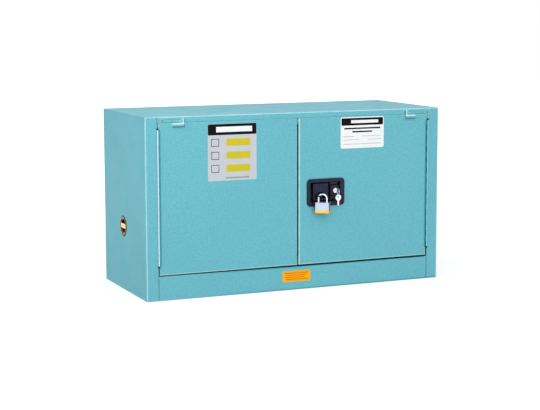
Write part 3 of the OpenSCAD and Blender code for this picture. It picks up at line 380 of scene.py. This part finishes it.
    def finish(self, rough):
        """A coat nearly free of sheen, over sheet that waves a little, with grain and orange peel."""
        self.to("Base Color", self.body)
        self.to("Roughness", self.remap(self.noise(14.0, 4.0), rough - 0.05, rough + 0.08))
        self.set(Specular_IOR_Level=0.05)
        waves = self.noise(1.6, 1.0)
        grain = self.noise(170.0, 3.0, 0.6)
        peel = self.noise(750.0, 2.0)
        self.bump([(waves, 0.35, 0.0016), (grain, 0.1, 0.0003), (peel, 0.12, 0.00012)], 0.0018)
        return self.m


def paint(name, base, wear_and_highlight_strength, rough=0.36, kind="sheet"):
    """kind is sheet, door, hinge or arm, and says which marks of painted light and shade, and of wear, the
    paint carries.
    """
    s = Paint(name, base)
    if kind == "door":
        s.painted_hinge_shadow()
    s.darken_round_pins()
    s.painted_gap_shade()
    if kind == "hinge":
        s.barrel_highlights()
    if kind == "sheet":
        s.cabinet_fold_highlights()
        s.kick_shadow()
        s.vent_flange_shadow()
    if kind == "door":
        s.door_edge_highlights()
    s.wear_and_highlight(wear_and_highlight_strength)
    if kind == "arm":
        s.hook_light_and_shade()
    return s.finish(rough)


def metal(name, base, rough, scale=60.0, dirt=0.12, radius=0.0004):
    """Plated metal with a faint grain and smudges."""
    s = Shader(name)
    clean = 1 - dirt
    smudge = s.noise(28.0, 4.0)
    s.to("Base Color", s.ramp(smudge, [(0.3, toned(base, clean, clean, clean)), (0.7, base)]))
    lines = s.noise(scale, 3.0, 0.6)
    s.to("Roughness", s.remap(s.mix(0.5, lines, smudge), rough - 0.06, rough + 0.12))
    s.set(Metallic=1.0)
    s.bump([(lines, 0.15, 0.0001)], radius)
    return s.m


def galvanised():
    """Hot-dip zinc with its spangle."""
    s = Shader("galvanised_sheet")
    spangle = s.voronoi(70.0, out="Color")
    bw = s.node("ShaderNodeRGBToBW")
    s.link(spangle, bw.inputs[0])
    s.to("Base Color", s.ramp(bw.outputs[0], [(0.2, srgb(150, 154, 158)), (0.8, srgb(186, 189, 192))]))
    s.to("Roughness", s.remap(bw.outputs[0], 0.32, 0.5, 0.2, 0.8))
    s.set(Metallic=1.0)
    s.bump([(s.noise(300.0, 3.0), 0.12, 0.0001)], 0.0005)
    return s.m


def brass(name, bright, brown, tarnished):
    """Turned brass: bright where hands and cloths reach, red-brown tarnish in the hollows."""
    s = Shader(name)
    tarnish = s.ramp(s.noise(55.0, 5.0, 0.65), [(0.4, 0.0), (0.68, 1.0)])
    hollow = s.remap(s.open_air(0.016), 1.0, 0.0, 0.25, 0.8)
    body = s.mix(s.math("MULTIPLY", tarnish, tarnished), bright, brown)
    s.to("Base Color", s.mix(s.math("MULTIPLY", hollow, 0.92), body, srgb(72, 20, 16)))
    s.to("Roughness", s.remap(tarnish, 0.24, 0.5, 0.0, 1.0))
    s.set(Metallic=1.0)
    s.bump([(s.noise(160.0, 3.0), 0.2, 0.00012)], 0.0005)
    return s.m


def cast_black():
    """Black wrinkle paint on a die-casting: edges pale in patches, wear and painted highlight; painted shade
    in hollows.
    """
    s = Shader("latch_black")
    patches = s.ramp(s.noise(60.0, 4.0), [(0.4, 0.1), (0.7, 1.0)])
    wear_and_highlight = s.math("MULTIPLY", s.edges(0.0009, 0.04, 0.4), patches)
    dark = s.ramp(s.noise(120.0, 3.0), [(0.3, srgb(18, 24, 44)), (0.7, srgb(30, 36, 62))])
    face = s.mix(s.math("MULTIPLY", wear_and_highlight, 0.5), dark, srgb(74, 88, 122))
    # painted shade: near black deep in the hollows
    s.to("Base Color", s.mix(s.remap(s.open_air(0.03), 0.0, 1.0, 0.2, 0.92), srgb(4, 5, 8), face))
    s.to("Roughness", s.remap(s.noise(90.0, 3.0), 0.4, 0.56))
    s.set(Specular_IOR_Level=0.25)
    s.bump([(s.noise(900.0, 2.0), 0.3, 0.0002)], 0.0006)
    return s.m


def tray_plastic():
    """Moulded polyethylene with a leathery skin."""
    s = Shader("tray_polyethylene")
    s.to("Base Color", s.ramp(s.noise(40.0, 4.0), [(0.3, srgb(24, 25, 27)), (0.7, srgb(38, 39, 42))]))
    s.to("Roughness", s.remap(s.noise(25.0, 3.0), 0.45, 0.62))
    s.bump([(s.voronoi(520.0), 0.25, 0.0002)], 0.0012)
    return s.m


PADLOCK_TURN = math.radians(-38.0)  # how far the padlock's broad face is turned from the front


def narrow_side(s):
    """1 on the padlock's two narrow sides, 0 on its broad faces, in the padlock's own axes."""
    side = s.node("ShaderNodeVectorMath", operation="DOT_PRODUCT")
    s.link(s.node("ShaderNodeTexCoord").outputs["Normal"], side.inputs[0])
    side.inputs[1].default_value = (math.cos(PADLOCK_TURN), math.sin(PADLOCK_TURN), 0.0)
    return s.remap(s.math("ABSOLUTE", side.outputs["Value"]), 0.0, 1.0, 0.3, 0.55)


def laminated():
    """Stacked plates: bright plated faces streaked along each plate, copper-brown riveted ends."""
    s = Shader("laminated_plates")
    streak = s.noise(6.0, 5.0, 0.7, stretch=(30.0, 30.0, 420.0))
    grey, blue, white = srgb(150, 164, 198), srgb(196, 208, 234), srgb(226, 234, 250)
    front = s.ramp(streak, [(0.3, grey), (0.5, blue), (0.7, white)])
    ends = s.ramp(streak, [(0.3, srgb(140, 88, 30)), (0.7, srgb(214, 156, 70))])
    s.to("Base Color", s.mix(narrow_side(s), front, ends))
    s.to("Roughness", s.remap(streak, 0.3, 0.5))
    s.set(Metallic=0.85)
    s.bump([(streak, 0.25, 0.00015)], 0.0004)
    return s.m


def yellow_vinyl():
    """Dipped vinyl band, with painted shade where it wraps the narrow sides."""
    s = Shader("padlock_vinyl")
    face = s.ramp(s.noise(50.0, 4.0), [(0.3, srgb(238, 184, 44)), (0.7, srgb(250, 208, 76))])
    s.to("Base Color", s.mix(narrow_side(s), face, srgb(242, 148, 0)))
    s.to("Roughness", s.remap(s.noise(80.0, 3.0), 0.3, 0.45))
    s.set(Coat_Weight=0.2)
    s.bump([(s.noise(500.0, 2.0), 0.1, 0.0001)], 0.0008)
    return s.m


def dull_black(name, low, high, rough):
    """Matt black that takes little light: oxide on steel, or rubber."""
    s = Shader(name)
    s.to("Base Color", s.ramp(s.noise(70.0, 4.0), [(0.3, low), (0.7, high)]))
    s.to("Roughness", s.remap(s.noise(110.0, 3.0), rough - 0.06, rough + 0.08))
    s.set(Specular_IOR_Level=0.15)
    s.bump([(s.noise(620.0, 2.0), 0.2, 0.00012)], 0.0004)
    return s.m


BY_SLOT = {
    "paint": paint("cabinet_paint", TEAL, 0.55),
    "liner": paint("liner_paint", srgb(118, 190, 203), 0.1, 0.42),
    "hinge_paint": paint("hinge_paint", srgb(104, 178, 192), 0.8, kind="hinge"),
    "arm_paint": paint("arm_paint", srgb(114, 190, 203), 0.3, kind="arm"),
    "galvanised": galvanised(),
    "zinc": metal("zinc_plate", srgb(196, 198, 200), 0.3),
    "chrome": metal("nickel_chrome", srgb(228, 230, 238), 0.2, scale=90.0, dirt=0.06, radius=0.0003),
    "brass": brass("turned_brass", srgb(250, 222, 160), srgb(150, 84, 44), 0.4),
    "latch_black": cast_black(),
    "black_plastic": tray_plastic(),
    "laminated_steel": laminated(),
    "yellow_plastic": yellow_vinyl(),
    "black_oxide": dull_black("black_oxide", srgb(4, 4, 5), srgb(10, 10, 12), 0.55),
    "black_rubber": dull_black("seal_rubber", srgb(5, 6, 7), srgb(11, 12, 13), 0.75),
}
DOOR_PAINT = paint("door_paint", TEAL, 0.7, kind="door")
DULL_BRASS = brass("dull_brass", srgb(150, 104, 62), srgb(84, 40, 26), 0.6)
BY_NODE = {"left_door_outer": DOOR_PAINT, "right_door_outer": DOOR_PAINT, "vent_tubes": DULL_BRASS}

for part in frame["record"]["subparts"]:
    material = BY_NODE.get(part["node"], BY_SLOT[part["material_slot"]])
    slots = nodes[part["node"]].data.materials
    slots.clear()
    slots.append(material)

# ---- labels and trim ------------------------------------------------------


def rounded_outline(x0, z0, x1, z1, r, steps=6):
    """Points round a rectangle with round corners, the corners taken one by one from the upper right."""
    corners = ((x1 - r, z1 - r, 0), (x0 + r, z1 - r, 90), (x0 + r, z0 + r, 180), (x1 - r, z0 + r, 270))
    points = []
    for middle_x, middle_z, start in corners:
        for i in range(steps + 1):
            a = math.radians(start + 90.0 * i / steps)
            points.append((middle_x + r * math.cos(a), middle_z + r * math.sin(a)))
    return points


def box_outline(x0, z0, x1, z1):
    """A rectangle's corners, in the same order."""
    return [(x1, z1), (x0, z1), (x0, z0), (x1, z0)]


def plate(bm, outline, y0, y1, index):
    """A thin plate between depths y0 (back) and y1 (front, nearer the viewer)."""
    back = [bm.verts.new((x, y0, z)) for x, z in outline]
    front = [bm.verts.new((x, y1, z)) for x, z in outline]
    n = len(outline)
    faces = [bm.faces.new(front), bm.faces.new(list(reversed(back)))]
    for i in range(n):
        j = (i + 1) % n
        faces.append(bm.faces.new((back[i], back[j], front[j], front[i])))
    for f in faces:
        f.material_index = index


def finish_piece(name, bm, materials, body, bevel=0.0):
    """Makes the mesh an object that rides a body, with its edges bevelled if asked."""
    bmesh.ops.recalc_face_normals(bm, faces=bm.faces[:])
    me = bpy.data.meshes.new(name)
    bm.to_mesh(me)
    bm.free()
    for m in materials:
        me.materials.append(m)
    o = bpy.data.objects.new(name, me)
    scene.collection.objects.link(o)
    if bevel:
        mod = o.modifiers.new("edge", "BEVEL")
        mod.width = bevel
        mod.segments = 2
        mod.limit_method = "ANGLE"
    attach(o, body)


def film(name, colour, rough=0.35):
    """Printed vinyl film: even tone, faint mottling, a slight ripple where it follows the paint."""
    s = Shader(name)
    dim = toned(colour, 0.95, 0.95, 0.95)
    s.to("Base Color", s.ramp(s.noise(30.0, 4.0), [(0.3, dim), (0.7, colour)]))
    s.to("Roughness", s.remap(s.noise(18.0, 3.0), rough - 0.05, rough + 0.08))
    s.set(Specular_IOR_Level=0.08)
    s.bump([(s.noise(700.0, 2.0), 0.08, 0.0001), (s.noise(9.0, 1.0), 0.2, 0.0006)])
    return s.m


INK = film("label_black", srgb(8, 8, 11), 0.3)
GREY_FILM = film("label_grey", srgb(196, 202, 206))
WHITE_FILM = film("label_white", srgb(240, 242, 243))
MUSTARD = film("label_mustard", srgb(206, 190, 44))
PALE_GREY = film("label_pale_grey", srgb(150, 154, 160))
ORANGE = film("plate_orange", srgb(254, 184, 6), 0.3)
ORANGE_DARK = film("plate_orange_dark", srgb(236, 110, 24))


class Label:
    """A thin film on the front face, with plain shapes printed on it.

    A print is a plate that starts inside the film and ends in front of it, so that no two surfaces
    lie in one plane: sunk and proud are the distances of its two ends from the face.
    """

    def __init__(self, low, high, corner, materials, thick=0.00016, sunk=0.0001, proud=0.0002):
        self.bm = bmesh.new()
        self.low = low
        self.materials = materials
        self.sunk = sunk
        self.proud = proud
        plate(self.bm, rounded_outline(*low, *high, corner), FRONT, FRONT - thick, 0)

    def printed(self, x0, z0, x1, z1, colour, corner=0.0, proud=None):
        """A rectangle, placed from the film's lower left corner, with round corners if asked."""
        x, z = self.low
        place = (x + x0, z + z0, x + x1, z + z1)
        outline = rounded_outline(*place, corner) if corner else box_outline(*place)
        front = FRONT - (proud or self.proud)
        plate(self.bm, outline, FRONT - self.sunk, front, self.materials.index(colour))

    def line(self, x0, x1, z, thick, colour):
        """A level line, z being its middle."""
        self.printed(x0, z - thick / 2, x1, z + thick / 2, colour)

    def put(self, name, body):
        """Hands the label to the body that it sticks to."""
        finish_piece(name, self.bm, self.materials, body)


PRINT_OVER = 0.00024  # how far a shape printed over another one stands out from the door


def left_label():
    """Grey film: black head with a bare white field, three rows of an empty frame and a bar, a line."""
    label = Label((-0.328, 0.390), (-0.153, 0.580), 0.003, [GREY_FILM, INK, WHITE_FILM, MUSTARD, PALE_GREY])
    label.printed(0.0005, 0.153, 0.1745, 0.1895, INK, 0.0028)
    label.printed(0.030, 0.1625, 0.159, 0.1805, WHITE_FILM, proud=PRINT_OVER)
    for i in range(3):
        z = 0.128 - i * 0.0435
        label.printed(0.066, z - 0.012, 0.152, z + 0.012, MUSTARD, 0.003)
        label.printed(0.012, z - 0.013, 0.040, z + 0.013, INK, 0.002)
        label.printed(0.014, z - 0.011, 0.038, z + 0.011, GREY_FILM, 0.0015, PRINT_OVER)
    label.line(0.063, 0.148, 0.00925, 0.0045, PALE_GREY)
    label.put("left_door_label", "left_door")


def right_label():
    """White film: black head with a bare white field, two thick lines and three rows of fine ones."""
    label = Label((0.161, 0.479), (0.328, 0.587), 0.006, [WHITE_FILM, INK, PALE_GREY])
    label.printed(0.003, 0.079, 0.164, 0.1045, INK, 0.003)
    label.printed(0.040, 0.0865, 0.145, 0.097, WHITE_FILM, proud=PRINT_OVER)
    for z, x0, x1 in ((0.0685, 0.014, 0.153), (0.0570, 0.045, 0.122)):
        label.line(x0, x1, z, 0.0052, INK)
    fine = ((0.041, 0.010, 0.052), (0.041, 0.082, 0.155), (0.029, 0.010, 0.070), (0.029, 0.105, 0.157),
            (0.0145, 0.010, 0.157))
    for z, x0, x1 in fine:
        label.line(x0, x1, z, 0.0014, PALE_GREY)
    label.put("right_door_label", "right_door")


def kick_label():
    """Orange plate: a fine line at its top and bottom, and four rows of plain bars."""
    label = Label((-0.058, 0.028), (0.046, 0.066), 0.002, [ORANGE, ORANGE_DARK],
                  thick=0.0003, sunk=0.0002, proud=0.00036)
    for z in (0.034, 0.004):
        label.line(0.003, 0.101, z, 0.001, ORANGE_DARK)
    for i in range(4):
        x0 = 0.008 + 0.004 * (i % 2)
        x1 = 0.096 - 0.006 * (i % 3)
        label.line(x0, x1, 0.0295 - i * 0.0070, 0.0032, ORANGE_DARK)
    label.put("kick_label", "cabinet")


def edge_strip_and_gap_shade():
    """Thin black rubber strip on the right door's free edge, facing the left door's soft bulb; it also stands
    in for the shade deep in the gap between the doors.
    """
    low = Vector((DOOR_LOW.x - 0.00045, FRONT + 0.0023, SEAL_LOW.z))
    high = Vector((DOOR_LOW.x - 0.00002, FRONT + 0.0203, SEAL_HIGH.z))
    bm = bmesh.new()
    bmesh.ops.create_cube(bm, size=1.0)
    for v in bm.verts:
        v.co = (low + high) / 2 + v.co * (high - low)
    materials = [BY_SLOT["black_rubber"]]
    finish_piece("right_door_edge_strip", bm, materials, "right_door", 0.00012)


left_label()
right_label()
kick_label()
edge_strip_and_gap_shade()

# ---- floor, backdrop and light --------------------------------------------

FLOOR_GREY = (0.43, 0.46)
FLOOR_GLOW = 0.62  # what the floor gives off to the eye near the object
FLOOR_GLOW_MORE = 0.45  # added to that from FLOOR_FAR on, where the floor is plain white
FLOOR_NEAR = 0.9  # from here the glow grows
FLOOR_FAR = 2.2
FLOOR_DROP = 0.0004  # keeps the floor clear of the cabinet's base
WORLD_LIGHT = 0.8  # what the surroundings throw on the object


def floor_material():
    """Pale studio floor: grey enough not to flood the object with light, and white to the eye."""
    s = Shader("studio_white")
    s.to("Base Color", s.ramp(s.noise(1.5, 2.0), [(0.3, FLOOR_GREY[0]), (0.7, FLOOR_GREY[1])]))
    s.set(Roughness=0.9, Specular_IOR_Level=0.1)
    path = s.node("ShaderNodeLightPath").outputs
    direct = s.math("MAXIMUM", path["Is Camera Ray"], path["Is Glossy Ray"])
    seen = s.math("MAXIMUM", direct, path["Is Transmission Ray"])
    outer = s.remap(s.far_from((0.0, 0.0, 0.0)), 0.0, FLOOR_GLOW_MORE, FLOOR_NEAR, FLOOR_FAR)
    glow = s.node("ShaderNodeEmission")
    s.link(s.math("MULTIPLY", seen, s.math("ADD", outer, FLOOR_GLOW)), glow.inputs["Strength"])
    add = s.node("ShaderNodeAddShader")
    s.link(s.p.outputs[0], add.inputs[0])
    s.link(glow.outputs[0], add.inputs[1])
    s.link(add.outputs[0], s.out.inputs["Surface"])
    return s.m


def studio_floor():
    """A wide floor just under the object, in the studio only."""
    bm = bmesh.new()
    bmesh.ops.create_grid(bm, x_segments=8, y_segments=8, size=12.0)
    mesh = bpy.data.meshes.new("floor")
    bm.to_mesh(mesh)
    bm.free()
    mesh.materials.append(floor_material())
    floor = bpy.data.objects.new("floor", mesh)
    scene.collection.objects.link(floor)
    floor.location.z = -FLOOR_DROP


def studio_world():
    """Even white surroundings: plain light on the object, pure white to the eye."""
    world = bpy.data.worlds.new("studio")
    scene.world = world
    world.use_nodes = True
    tree = world.node_tree
    tree.nodes.clear()
    mix = tree.nodes.new("ShaderNodeMixShader")
    for socket, strength in ((1, WORLD_LIGHT), (2, 1.0)):
        white = tree.nodes.new("ShaderNodeBackground")
        white.inputs["Color"].default_value = (1.0, 1.0, 1.0, 1.0)
        white.inputs["Strength"].default_value = strength
        tree.links.new(white.outputs[0], mix.inputs[socket])
    path = tree.nodes.new("ShaderNodeLightPath")
    seen = tree.nodes.new("ShaderNodeMath")
    seen.operation = "MAXIMUM"
    tree.links.new(path.outputs["Is Camera Ray"], seen.inputs[0])
    tree.links.new(path.outputs["Is Transmission Ray"], seen.inputs[1])
    tree.links.new(seen.outputs[0], mix.inputs[0])
    out = tree.nodes.new("ShaderNodeOutputWorld")
    tree.links.new(mix.outputs[0], out.inputs["Surface"])


def soft_light(name, place, aim, size, power, tint=(1.0, 1.0, 1.0)):
    """A rectangular lamp at a place, turned to a point."""
    data = bpy.data.lights.new(name, "AREA")
    data.color = tint
    data.shape = "RECTANGLE"
    data.size, data.size_y = size
    data.energy = power
    o = bpy.data.objects.new(name, data)
    scene.collection.objects.link(o)
    o.location = place
    o.rotation_mode = "QUATERNION"
    o.rotation_quaternion = (Vector(aim) - Vector(place)).to_track_quat("-Z", "Y")


studio_floor()
studio_world()
soft_light("key", (-0.6, -3.0, 1.7), (0.05, 0.0, 0.4), (3.4, 2.6), 56.0)
soft_light("left", (-2.6, -0.6, 1.9), (-0.4, 0.0, 0.35), (1.0, 1.2), 19.0, (0.80, 0.97, 1.0))
soft_light("top", (0.6, 0.8, 3.4), (0.0, 0.0, 0.3), (2.2, 2.2), 2.0)
